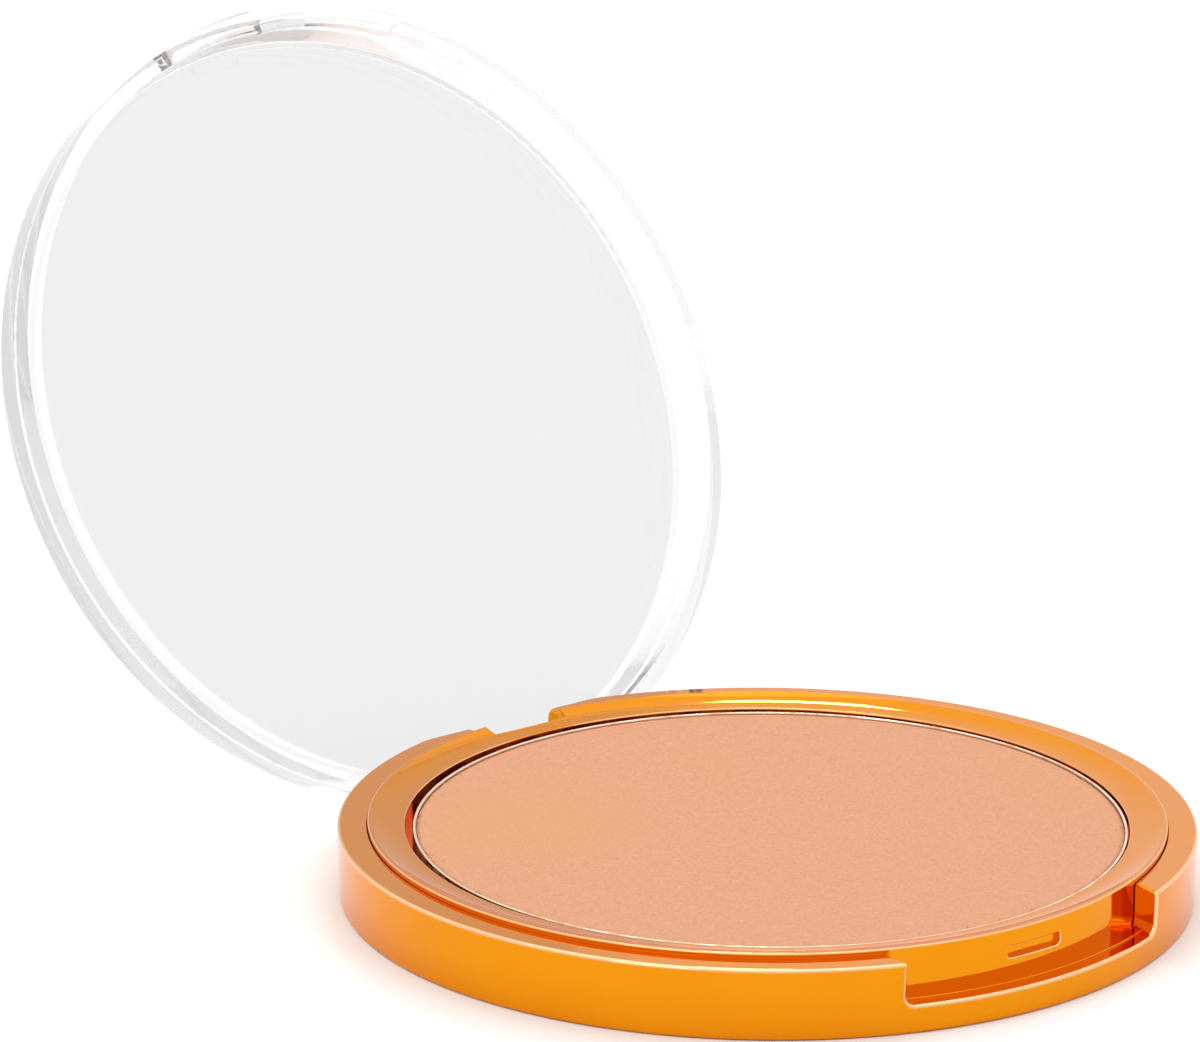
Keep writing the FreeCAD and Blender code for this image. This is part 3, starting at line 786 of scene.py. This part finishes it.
def wall_normal(angle):
    """Which way the shell's outer wall faces: straight back on the flat behind the hinge."""
    if math.cos(angle) < REAR_COSINE and abs(REAR_FLAT * math.tan(angle)) < REAR_FLAT_HALF:
        return Vector((0, 1, 0))
    return facing(angle, 1, -DRAFT)


def outer_place(angle, height):
    """A place on the shell's outer wall."""
    return turn(min(wall_radius(height), Column.flat_radius(angle)), angle, height)


def shell_slice(column, foot, bore):
    """One slice's stretches, from the floor's top over the ledge and down to the foot."""
    out = wall_normal(column.angle)
    edge = outer_place(column.angle, column.height)
    inner_angle = column.angle_at(SHELL_BORE)
    inward = facing(inner_angle, -1, 0)
    inner_edge = turn(SHELL_BORE, inner_angle, column.height)
    inner_lip = lip(inner_edge, inward, column.top, BORE_ROUND, BORE_STEPS)
    outer_lip = lip(edge, column.top, out, LIP_ROUND, LIP_STEPS)
    start, stop = inner_lip[-1][0], outer_lip[0][0]
    top = [(start.lerp(stop, share), column.top) for share in steps(0, 1, LEDGE_STEPS_ACROSS)]
    wall_start = outer_lip[-1][0]
    start_angle = math.atan2(wall_start.x, -wall_start.y)
    wall = [outer_lip[-1]]
    for share in steps(0, 1, WALL_STEPS)[1:]:
        angle = start_angle + (foot - start_angle) * share
        height = wall_start.z + (FOOT_ROUND - wall_start.z) * share
        wall.append((outer_place(angle, height), wall_normal(angle)))
    foot_edge = outer_place(foot, FOOT_ROUND) - Vector((0, 0, FOOT_ROUND))
    down = -UPRIGHT
    foot_lip = lip(foot_edge, facing(foot, 1, 0), down, FOOT_ROUND, FOOT_STEPS)
    bore_normal = facing(bore, -1, 0)
    seam_low = turn(FLOOR_SEAM, bore, 0)
    seam_high = turn(FLOOR_SEAM, bore, FLOOR_TOP)
    bore_foot = turn(SHELL_BORE, bore, FLOOR_TOP)
    return [
        [(seam_low, bore_normal), (seam_high, bore_normal)],
        [(seam_high, -down), (bore_foot, -down)],
        [(bore_foot, bore_normal), inner_lip[0]],
        inner_lip,
        top,
        outer_lip,
        wall,
        [wall[-1], foot_lip[0]],
        foot_lip,
        [(foot_lip[-1][0], down), (seam_low, down)],
    ]


def mirrored(slice_stretches):
    """The same slice on the left."""
    flip = Vector((-1, 1, 1))
    return [[(place * flip, normal * flip) for place, normal in stretch] for stretch in slice_stretches]


# Stretches by their number, and how much of an edge each rounded one is for the lacquer's paler edges:
# partly thin lacquer, partly a painted highlight.
INNER_LIP = 3
OUTER_LIP = 5
SHELL_THIN_LACQUER_AND_HIGHLIGHT = {INNER_LIP: 0.5, OUTER_LIP: 1.0}
SLOT_BAND = 1
RIM_BAND = 3
RING_BAND = 5
WELL_BAND = 6
ROOF_BAND = 10
FRAME_THIN_LACQUER_AND_HIGHLIGHT = {RIM_BAND: 0.8, WELL_BAND: 0.5}


def shell_wall(skin):
    """The shell's wall and ledge all the way round, open only at the notch."""
    columns = half_shell_columns()
    feet = foot_angles(columns, SHELL_FOOT_RADIUS)
    bores = foot_angles(columns, SHELL_BORE)
    right = [shell_slice(column, foot, bore) for column, foot, bore in zip(columns, feet, bores)]
    slices = [mirrored(one) for one in reversed(right[1:])] + right
    for number in range(len(slices[0])):
        rows = [[one[number][row] for one in slices] for row in range(len(slices[0][number]))]
        skin.band(rows, edge=SHELL_THIN_LACQUER_AND_HIGHLIGHT.get(number, 0.0))
    for end, side in ((slices[0], 1), (slices[-1], -1)):
        loop = [place for stretch in end for place, normal in stretch]
        skin.cap(loop, Vector((side, 0, 0)))


def notch_filler(skin):
    """The bottom of the notch, between the floor's round seam and the notch's flat wall."""
    outlines = []
    for x in steps(-NOTCH_HALF_WIDTH, NOTCH_HALF_WIDTH, NOTCH_FLOOR_STEPS):
        front = math.sqrt(FLOOR_SEAM ** 2 - x ** 2)
        corners = ((front, 0), (NOTCH_WALL, 0), (NOTCH_WALL, BLOCK_TOP), (front, BLOCK_TOP))
        outlines.append([Vector((x, y, z)) for y, z in corners])
    back = Vector((0, 1, 0))
    for side, normal in enumerate((-UPRIGHT, back, UPRIGHT, -back)):
        skin.band([[(outline[end % 4], normal) for outline in outlines] for end in (side, side + 1)])
    for outline, sign in ((outlines[0], -1), (outlines[-1], 1)):
        skin.cap(outline, Vector((sign, 0, 0)))


def recess_step(skin):
    """The low step along the back of the recess's floor, sunk a little into what is round it."""
    top = RECESS_FLOOR + STEP_HEIGHT
    low = RECESS_FLOOR - STEP_HEIGHT
    half = math.asin((RECESS_HALF_WIDTH + STEP_SINK) / SHELL_BORE)
    inside = SHELL_BORE - STEP_SINK
    section = rounded_section([
        (inside, low, 0), (STEP_RADIUS, low, 0), (STEP_RADIUS, top, STEP_ROUND), (inside, top, 0)])
    angles = steps(-half, half, STEP_PIECES)
    revolve(skin, section, angles, closed=False)
    for angle, side in ((angles[0], -1), (angles[-1], 1)):
        outline = [turn(radius, angle, z) for radius, z, out, up in sum(section, [])]
        skin.cap(outline, Vector((side, 0, 0)))


def make_shell(material):
    """The outer shell: its wall, the recess's step, the notch's bottom, the floor with its foot
    ring, and the two blocks that hold the hinge pin."""
    skin = Skin()
    shell_wall(skin)
    recess_step(skin)
    notch_filler(skin)
    floor = rounded_section([
        (0, FOOT_DEPTH, 0), (FOOT_RING, FOOT_DEPTH, 0), (FOOT_RING + FOOT_DEPTH, 0, FOOT_RING_ROUND),
        (FLOOR_SEAM, 0, 0), (FLOOR_SEAM, FLOOR_TOP, 0), (0, FLOOR_TOP, 0)])
    revolve(skin, floor, whole_turn(FLOOR_STEPS, HALF_STEP))
    block_low = FLOOR_TOP - BLOCK_ROOT
    block_back = SHELL_BORE - BLOCK_BACK_GAP
    for side in (-1, 1):
        left, right = sorted((side * (NOTCH_HALF_WIDTH + BLOCK_SIDE_GAP), side * BLOCK_HALF_WIDTH))
        skin.box((left, BLOCK_FRONT, block_low), (right, block_back, BLOCK_TOP))
    piece = skin.finish("shell_moulding", material, "base")
    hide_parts("base_shell")
    return piece


def ring_height(radius):
    """Height and slope of the dished ring between the rim's land and the well's edge."""
    outer, inner = FRAME_RADIUS - RIM_LAND, WELL_RADIUS
    share = (radius - inner) / (outer - inner)
    height = WELL_LIP + (RIM_HEIGHT - WELL_LIP) * share - 4 * RING_SAG * share * (1 - share)
    slope = ((RIM_HEIGHT - WELL_LIP) - 4 * RING_SAG * (1 - 2 * share)) / (outer - inner)
    return height, slope


def frame_angles():
    """The right half's angles: close together at the catch slot, then even."""
    slot = [math.asin(x / FRAME_RADIUS) for x in steps(0, SLOT_PATCH_HALF_WIDTH, SLOT_PATCH_ACROSS // 2)]
    even = steps(slot[-1], CUT_ANGLE, FRAME_STEPS)[1:]
    rear = steps(CUT_ANGLE, NOTCH_ANGLE, FRAME_REAR_STEPS)[1:]
    return slot + even + rear


def frame_stretches(bottom):
    """The frame's section, no part of whose outer wall is below 'bottom'."""
    land = FRAME_RADIUS - RIM_LAND
    ring = []
    radii = steps(land, NOTCH_WALL_FOOT, RING_OUTER_STEPS)
    radii += steps(NOTCH_WALL_FOOT, WELL_RADIUS + WELL_ROUND, RING_INNER_STEPS)[1:]
    for radius in radii:
        height, slope = ring_height(radius)
        length = math.hypot(1, slope)
        ring.append((radius, height, -slope / length, 1 / length))
    lip_height, lip_slope = ring_height(WELL_RADIUS + WELL_ROUND)
    tilt = math.atan(lip_slope)
    centre_z = lip_height - WELL_ROUND * math.cos(tilt)
    well = []
    for angle in steps(math.pi / 2 + tilt, math.pi, WELL_STEPS):
        well.append((WELL_RADIUS + WELL_ROUND * (1 + math.cos(angle)),
                     centre_z + WELL_ROUND * math.sin(angle), math.cos(angle), math.sin(angle)))
    ring[-1] = (well[0][0], well[0][1], ring[-1][2], ring[-1][3])
    rim = []
    for angle in steps(0, math.pi / 2, RIM_STEPS):
        rim.append((FRAME_RADIUS - RIM_ROUND * (1 - math.cos(angle)),
                    RIM_HEIGHT - RIM_ROUND * (1 - math.sin(angle)), math.cos(angle), math.sin(angle)))
    low = FLOOR_TOP
    roof = max(bottom, RIM_HEIGHT - FRAME_FLANGE - FRAME_ROOF_DROP)
    shelf = max(bottom, WELL_LIP - FRAME_FLANGE)
    inner, outer = WELL_RADIUS + WELL_WALL, FRAME_RADIUS - CATCH_WALL
    under_notch = shelf + (roof - shelf) * (NOTCH_WALL_FOOT - inner) / (outer - inner)
    return [
        [(FRAME_RADIUS, bottom, 1, 0), (FRAME_RADIUS, max(bottom, SLOT_PATCH_LOW), 1, 0)],
        [(FRAME_RADIUS, max(bottom, z), 1, 0)
         for z in steps(SLOT_PATCH_LOW, SLOT_PATCH_HIGH, SLOT_PATCH_UP)],
        [(FRAME_RADIUS, max(bottom, SLOT_PATCH_HIGH), 1, 0), rim[0]],
        rim,
        [rim[-1], (land, RIM_HEIGHT, 0, 1)],
        ring,
        well,
        [well[-1], (WELL_RADIUS, low, -1, 0)],
        [(WELL_RADIUS, low, 0, -1), (inner, low, 0, -1)],
        [(inner, low, 1, 0), (inner, shelf, 1, 0)],
        [(inner, shelf, 0, -1), (NOTCH_WALL_FOOT, under_notch, 0, -1), (outer, roof, 0, -1)],
        [(outer, roof, -1, 0), (outer, bottom, -1, 0)],
        [(outer, bottom, 0, -1), (FRAME_RADIUS, bottom, 0, -1)],
    ]


def rounded_rectangle(half_width, half_height, corner, side, share):
    """A place and outward normal on a rounded rectangle. Side 0 is the right, then anticlockwise,
    and share runs from the middle of one corner's arc to the middle of the next."""
    straight = (half_height, half_width)[side % 2] - corner
    arc = corner * math.pi / 4
    travel = share * (2 * arc + 2 * straight)
    if travel < arc:
        turned = -math.pi / 4 + travel / corner
        place = Vector((math.cos(turned), math.sin(turned))) * corner + Vector((0, -straight))
        normal = Vector((math.cos(turned), math.sin(turned)))
    elif travel > arc + 2 * straight:
        turned = (travel - arc - 2 * straight) / corner
        place = Vector((math.cos(turned), math.sin(turned))) * corner + Vector((0, straight))
        normal = Vector((math.cos(turned), math.sin(turned)))
    else:
        place = Vector((corner, travel - arc - straight))
        normal = Vector((1, 0))
    place.x += (half_width, half_height)[side % 2] - corner
    quarter = Matrix.Rotation(math.pi / 2 * side, 2)
    return quarter @ place, quarter @ normal


def catch_slot(skin):
    """The slot for the lid's catch, with a rounded edge, set in the frame's outer wall."""
    middle = (SLOT_LOW + SLOT_HIGH) / 2
    half_height = (SLOT_HIGH - SLOT_LOW) / 2
    columns = steps(-SLOT_PATCH_HALF_WIDTH, SLOT_PATCH_HALF_WIDTH, SLOT_PATCH_ACROSS)
    rows = steps(SLOT_PATCH_LOW, SLOT_PATCH_HIGH, SLOT_PATCH_UP)
    rim = [(columns[-1], z) for z in rows[:-1]]
    rim += [(x, rows[-1]) for x in reversed(columns[1:])]
    rim += [(columns[0], z) for z in reversed(rows[1:])]
    rim += [(x, rows[0]) for x in columns[:-1]]

    def on_wall(x, z, depth):
        """A place at a depth in the wall, and which way the wall faces there."""
        angle = math.asin(x / FRAME_RADIUS)
        return turn(FRAME_RADIUS - depth, angle, z), facing(angle, 1, 0)

    loops = []
    counts = [SLOT_PATCH_UP, SLOT_PATCH_ACROSS] * 2
    shares = [(side, i / counts[side]) for side in range(4) for i in range(counts[side])]
    for angle in steps(0, math.pi / 2, SLOT_ROUND_STEPS):
        grow = SLOT_ROUND * (1 - math.sin(angle))
        depth = SLOT_ROUND * (1 - math.cos(angle))
        loop = []
        for side, along in shares:
            place, normal = rounded_rectangle(
                SLOT_HALF_WIDTH + grow, half_height + grow, SLOT_CORNER + grow, side, along)
            spot, out = on_wall(place.x, middle + place.y, depth)
            inward = Vector((-normal.x, 0, -normal.y))
            loop.append((spot, out * math.cos(angle) + inward * math.sin(angle)))
        loops.append(loop)
    outer = [on_wall(x, z, 0) for x, z in rim]
    skin.band([outer, loops[0]], closed=True)
    # The slot's rounded edge gets the paler edge colour: partly thin lacquer, partly a painted highlight.
    skin.band(loops, closed=True, edge=1.0)
    deep = []
    for side, along in shares:
        place, normal = rounded_rectangle(SLOT_HALF_WIDTH, half_height, SLOT_CORNER, side, along)
        spot, out = on_wall(place.x, middle + place.y, SLOT_DEPTH)
        deep.append((spot, Vector((-normal.x, 0, -normal.y))))
    skin.band([loops[-1], deep], closed=True)
    skin.cap([spot for spot, normal in deep], Vector((0, -1, 0)))


def make_frame(material):
    """The frame: rim, dished ring, well wall and outer wall. Behind the cut its outer wall is short,
    so that it clears the blocks that hold the hinge pin."""
    skin = Skin()
    right = frame_angles()
    angles = [-angle for angle in reversed(right[1:])] + right
    whole = frame_stretches(FLOOR_TOP)
    short = frame_stretches(FLANGE_LOW)
    slot_reach = math.asin(SLOT_PATCH_HALF_WIDTH / FRAME_RADIUS) + TOLERANCE
    for number in range(len(whole)):
        for first, second in zip(angles, angles[1:]):
            if number == SLOT_BAND and max(abs(first), abs(second)) < slot_reach:
                continue
            lanes = []
            for angle in (first, second):
                stretch = short[number] if abs(angle) > CUT_ANGLE + TOLERANCE else whole[number]
                lanes.append([(turn(r, angle, z), facing(angle, out, up)) for r, z, out, up in stretch])
            skin.band([list(pair) for pair in zip(*lanes)], edge=FRAME_THIN_LACQUER_AND_HIGHLIGHT.get(number, 0.0))
    catch_slot(skin)
    notch_bridge(skin, angles)
    piece = skin.finish("frame_moulding", material, "base")
    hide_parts("inner_frame")
    return piece


def notch_bridge(skin, angles):
    """The frame in front of the notch: its ring stops at the notch's wall."""
    section = frame_stretches(FLANGE_LOW)
    half = math.pi - angles[-1]
    rear_angles = [math.pi + angle for angle in steps(-half, half, BRIDGE_STEPS)]
    revolve(skin, section[WELL_BAND:ROOF_BAND], rear_angles, closed=False)
    ring = [point for point in section[RING_BAND] if point[0] < NOTCH_WALL_FOOT + TOLERANCE]
    first = ring[-1][0]
    rows = []
    for radius_at_side, height_at_side, out, up in ring:
        share = (radius_at_side - first) / (NOTCH_WALL_FOOT - first)
        row = []
        for angle in rear_angles:
            radius = first + (NOTCH_WALL / -math.cos(angle) - first) * share
            height = ring_height(radius)[0] if share > 0 else height_at_side
            row.append((turn(radius, angle, height), facing(angle, out, up)))
        rows.append(row)
    skin.band(rows)
    edge = [place for place, normal in rows[0]]
    low = [Vector((place.x, place.y, FLANGE_LOW)) for place in edge]
    shelf = [turn(WELL_RADIUS + WELL_WALL, angle, FLANGE_LOW) for angle in rear_angles]
    for normal, upper, lower in ((Vector((0, 1, 0)), edge, low), (-UPRIGHT, low, shelf)):
        skin.band([[(place, normal) for place in upper], [(place, normal) for place in lower]])
    for angle, side in ((angles[0], 1), (angles[-1], -1)):
        points = sum(section[SLOT_BAND:RING_BAND], [])
        points += [point for point in section[RING_BAND] if point[0] > NOTCH_WALL_FOOT - TOLERANCE]
        outline = [turn(radius, angle, z) for radius, z, out, up in points]
        outline.append(turn(NOTCH_WALL_FOOT, angle, FLANGE_LOW))
        outline.append(turn(FRAME_RADIUS - CATCH_WALL, angle, FLANGE_LOW))
        skin.cap(outline, Vector((side, 0, 0)))


def make_pan(material):
    """The pressed pan, glued in a little off centre, with a thin rolled rim."""
    skin = Skin()
    inside = PAN_RADIUS - PAN_WALL
    bottom = PAN_LOW + PAN_WALL
    section = rounded_section([
        (0, PAN_LOW, 0), (PAN_RADIUS, PAN_LOW, PAN_CORNER), (PAN_RADIUS, PAN_RIM, PAN_RIM_ROUND),
        (inside, PAN_RIM, PAN_RIM_ROUND), (inside, bottom, PAN_CORNER - PAN_WALL), (0, bottom, 0)])
    revolve(skin, section, whole_turn(PAN_STEPS), centre=PAN_CENTRE)
    piece = skin.finish("pan_pressing", material, "base")
    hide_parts("metal_pan")
    return piece


# The cake's waves, grain and chips each have a height, a scale in features per millimetre, and a
# layer of the noise of their own.
CAKE_WAVE = 0.014
CAKE_WAVE_SCALE = 0.3
CAKE_WAVE_LAYER = 0
CAKE_GRAIN = 0.007
CAKE_GRAIN_SCALE = 2.2
CAKE_GRAIN_LAYER = 5
CAKE_CHIP = 0.3
CAKE_CHIP_SCALE = 1.3
CAKE_CHIP_LAYER = 9
CAKE_CHIP_START = 0.15
CAKE_EDGE_WIDTH = 0.3
CAKE_EDGE_DROP = 0.1
CAKE_STEPS = 480
CAKE_RINGS = 100
CAKE_EDGE_RINGS = 6
SLOPE_REACH = 0.05
CRUMBS = 90
CRUMB_SEED = 11
CRUMB_STRAY = 0.35
CRUMB_SMALLEST = 0.03
CRUMB_LARGEST = 0.09
CRUMB_SINK = 0.5
CRUMB_UNDER = 0.6
CRUMB_UNEVEN = (0.6, 1.2)


def cake_height(x, y):
    """The powder's top: a slight crown, faint waves and grain, and an edge with small chips."""
    radius = math.hypot(x, y)
    height = POWDER_EDGE + POWDER_CROWN * (1 - (radius / POWDER_RADIUS) ** 2)
    height += CAKE_WAVE * noise.noise(Vector((x, y, CAKE_WAVE_LAYER)) * CAKE_WAVE_SCALE)
    height += CAKE_GRAIN * noise.noise(Vector((x, y, CAKE_GRAIN_LAYER)) * CAKE_GRAIN_SCALE)
    near_edge = min(1.0, max(0.0, 1 - (POWDER_RADIUS - radius) / CAKE_EDGE_WIDTH))
    chip = max(0.0, noise.noise(Vector((x, y, CAKE_CHIP_LAYER)) * CAKE_CHIP_SCALE) - CAKE_CHIP_START)
    return height - near_edge ** 2 * (CAKE_EDGE_DROP + CAKE_CHIP * chip)


def cake_corner(radius, angle):
    """A place on the powder's top, and its normal from the slopes there."""
    place = turn(radius, angle, 0)
    height = cake_height(place.x, place.y)
    slope_x = (cake_height(place.x + SLOPE_REACH, place.y) - height) / SLOPE_REACH
    slope_y = (cake_height(place.x, place.y + SLOPE_REACH) - height) / SLOPE_REACH
    normal = Vector((-slope_x, -slope_y, 1)).normalized()
    return Vector((place.x, place.y, height)) + PAN_CENTRE, normal


def crumb(skin, centre, size, dice):
    """A loose grain: an irregular lump with eight faces."""
    ways = ((1, 0, 0), (0, 1, 0), (-1, 0, 0), (0, -1, 0))
    tips = [Vector(way) * size * dice.uniform(*CRUMB_UNEVEN) for way in ways]
    for pole in (UPRIGHT * size, UPRIGHT * -size * CRUMB_UNDER):
        for a, b in zip(tips, tips[1:] + tips[:1]):
            outward = (a + b + pole).normalized()
            skin.face([(centre + corner, outward) for corner in (a, b, pole)])


def make_powder(material):
    """The pressed cake, and loose crumbs scattered along its edge."""
    skin = Skin()
    angles = whole_turn(CAKE_STEPS)
    middle = steps(0, POWDER_RADIUS - CAKE_EDGE_WIDTH, CAKE_RINGS)
    edge = steps(POWDER_RADIUS - CAKE_EDGE_WIDTH, POWDER_RADIUS, CAKE_EDGE_RINGS)[1:]
    rows = [[cake_corner(radius, angle) for angle in angles] for radius in middle + edge]
    skin.band(rows, closed=True)
    rim = [place for place, normal in rows[-1]]
    outward = [facing(angle, 1, 0) for angle in angles]
    slanted = [facing(angle, 1, -1) for angle in angles]
    corner = POWDER_LOW + PAN_CORNER
    low = [turn(POWDER_RADIUS, angle, corner) + PAN_CENTRE for angle in angles]
    foot = [turn(POWDER_RADIUS - PAN_CORNER, angle, POWDER_LOW) + PAN_CENTRE for angle in angles]
    skin.band([list(zip(rim, outward)), list(zip(low, outward))], closed=True)
    skin.band([list(zip(low, slanted)), list(zip(foot, slanted))], closed=True)
    skin.cap(foot, -UPRIGHT)
    dice = random.Random(CRUMB_SEED)
    for _ in range(CRUMBS):
        angle = dice.uniform(0, 2 * math.pi)
        radius = POWDER_RADIUS - abs(dice.gauss(0, CRUMB_STRAY))
        place, normal = cake_corner(radius, angle)
        size = dice.uniform(CRUMB_SMALLEST, CRUMB_LARGEST)
        crumb(skin, place + UPRIGHT * size * CRUMB_SINK, size, dice)
    piece = skin.finish("powder_cake", material, "base")
    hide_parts("pressed_powder")
    return piece


FLOOR_REACH = 3.0
FLOOR_HEIGHT = -0.02 * MM


def make_floor():
    """A pale paper sheet just under the base, so that the two don't share a plane."""
    corners = [(x * FLOOR_REACH, y * FLOOR_REACH, FLOOR_HEIGHT)
               for x, y in ((-1, -1), (1, -1), (1, 1), (-1, 1))]
    mesh = bpy.data.meshes.new("floor")
    mesh.from_pydata(corners, [], [(0, 1, 2, 3)])
    mesh.materials.append(soft_surface("floor_paper", *FLOOR_PAPER))
    floor = link("floor", mesh)


make_camera()
make_world()
make_floor()
make_softboxes()
scene.view_settings.view_transform = "Standard"
scene.cycles.max_bounces = LIGHT_BOUNCES
scene.cycles.glossy_bounces = LIGHT_BOUNCES
scene.cycles.transmission_bounces = LIGHT_BOUNCES

metal = lacquered_metal("lacquered_metal")
make_shell(metal)
make_frame(metal)
make_pan(dusty_metal())
make_powder(pressed_powder())
# Clear plastic lets lamplight past: it throws no shadow, and matt surfaces are lit as if it weren't there.
lid = wear("clear_lid", clear_plastic())
lid.visible_shadow = False
lid.visible_diffuse = False
wear("hinge_pin", pin_steel())
wear("pan_glue", soft_surface("hot_glue", *HOT_GLUE))
wear("base_label", soft_surface("label_paper", *LABEL_PAPER))
